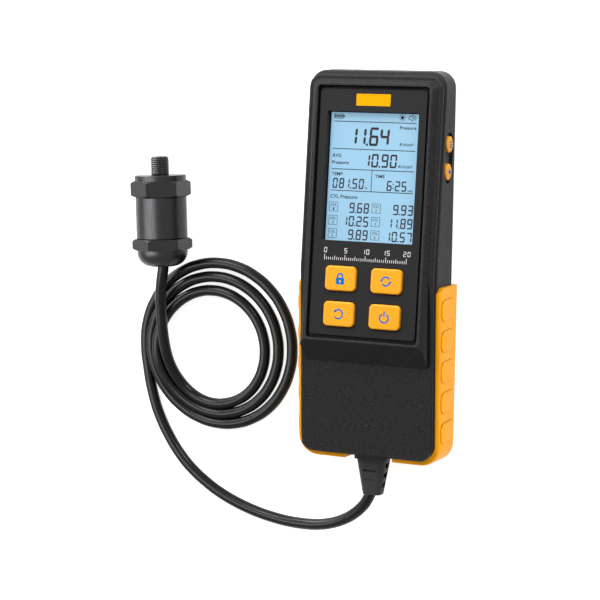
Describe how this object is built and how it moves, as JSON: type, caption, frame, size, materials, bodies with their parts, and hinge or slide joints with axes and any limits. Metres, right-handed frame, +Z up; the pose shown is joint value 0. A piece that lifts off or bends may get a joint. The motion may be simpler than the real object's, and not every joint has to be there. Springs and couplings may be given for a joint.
{
  "type": "compression tester gauge",
  "caption": "Handheld digital cylinder pressure gauge with screen, keys and orange grips, wired by a coiled cable to a threaded hexagonal pressure sensor.",
  "frame": {"origin": "on the surface that the tester lies on, under the middle of the casing and the sensor together", "axes": "+Y along the casing towards the top of the screen, +Z up out of the casing's back towards its face"},
  "size_m": [0.1893, 0.2445, 0.0363],
  "materials": {
    "shell_black": "fine spark texture",
    "panel_grey": "smooth satin",
    "grip_orange": "satin overmould",
    "key_orange": "satin silicone",
    "screen": "lit display glass",
    "backlight": "matt diffuser",
    "circuit_board": "solder mask",
    "plain_steel": "bright",
    "switch_metal": "pressed",
    "switch_black": "matt",
    "cell_jacket": "plain sleeve",
    "relief_rubber": "matt",
    "cable_black": "satin jacket",
    "gunmetal": "dark plated, turned",
    "seal_rubber": "matt"
  },
  "bodies": {
    "tester": {"front_shell": "shell_black", "rear_shell": "shell_black", "battery_door": "shell_black", "left_grip": "grip_orange", "right_grip": "grip_orange", "face_panel": "panel_grey", "lcd_glass": "screen", "lcd_backlight": "backlight", "main_board": "circuit_board", "side_board": "circuit_board", "sensor_board": "circuit_board", "board_screws": "plain_steel", "door_screw": "plain_steel", "case_screws": "plain_steel", "battery_contacts": "plain_steel", "front_switches": "switch_metal", "side_switches": "switch_metal", "buzzer": "switch_black", "battery_cells": "cell_jacket", "strain_relief": "relief_rubber", "cable_tail": "cable_black", "cable_coil": "cable_black", "cable_lead": "cable_black", "sensor_nose": "gunmetal", "sensor_barrel": "gunmetal", "sensor_cap": "gunmetal", "pressure_cell": "plain_steel", "cell_seal": "seal_rubber", "cable_seal": "seal_rubber"},
    "key_lock": {"key_lock": "key_orange"},
    "key_refresh": {"key_refresh": "key_orange"},
    "key_undo": {"key_undo": "key_orange"},
    "key_power": {"key_power": "key_orange"},
    "side_key_upper": {"side_key_upper": "key_orange"},
    "side_key_lower": {"side_key_lower": "key_orange"}
  },
  "joints": [
    {"name": "key_lock_press", "type": "slide", "parent": "tester", "child": "key_lock", "axis": [0, -0.0872, -0.9962], "range_m": [0, 0.0008], "stiffness_N_per_m": 900},
    {"name": "key_refresh_press", "type": "slide", "parent": "tester", "child": "key_refresh", "axis": [0, -0.0872, -0.9962], "range_m": [0, 0.0008], "stiffness_N_per_m": 900},
    {"name": "key_undo_press", "type": "slide", "parent": "tester", "child": "key_undo", "axis": [0, -0.0872, -0.9962], "range_m": [0, 0.0008], "stiffness_N_per_m": 900},
    {"name": "key_power_press", "type": "slide", "parent": "tester", "child": "key_power", "axis": [0, -0.0872, -0.9962], "range_m": [0, 0.0008], "stiffness_N_per_m": 900},
    {"name": "side_key_upper_press", "type": "slide", "parent": "tester", "child": "side_key_upper", "axis": [-1, 0, 0], "range_m": [0, 0.0008], "stiffness_N_per_m": 900},
    {"name": "side_key_lower_press", "type": "slide", "parent": "tester", "child": "side_key_lower", "axis": [-1, 0, 0], "range_m": [0, 0.0008], "stiffness_N_per_m": 900}
  ]
}
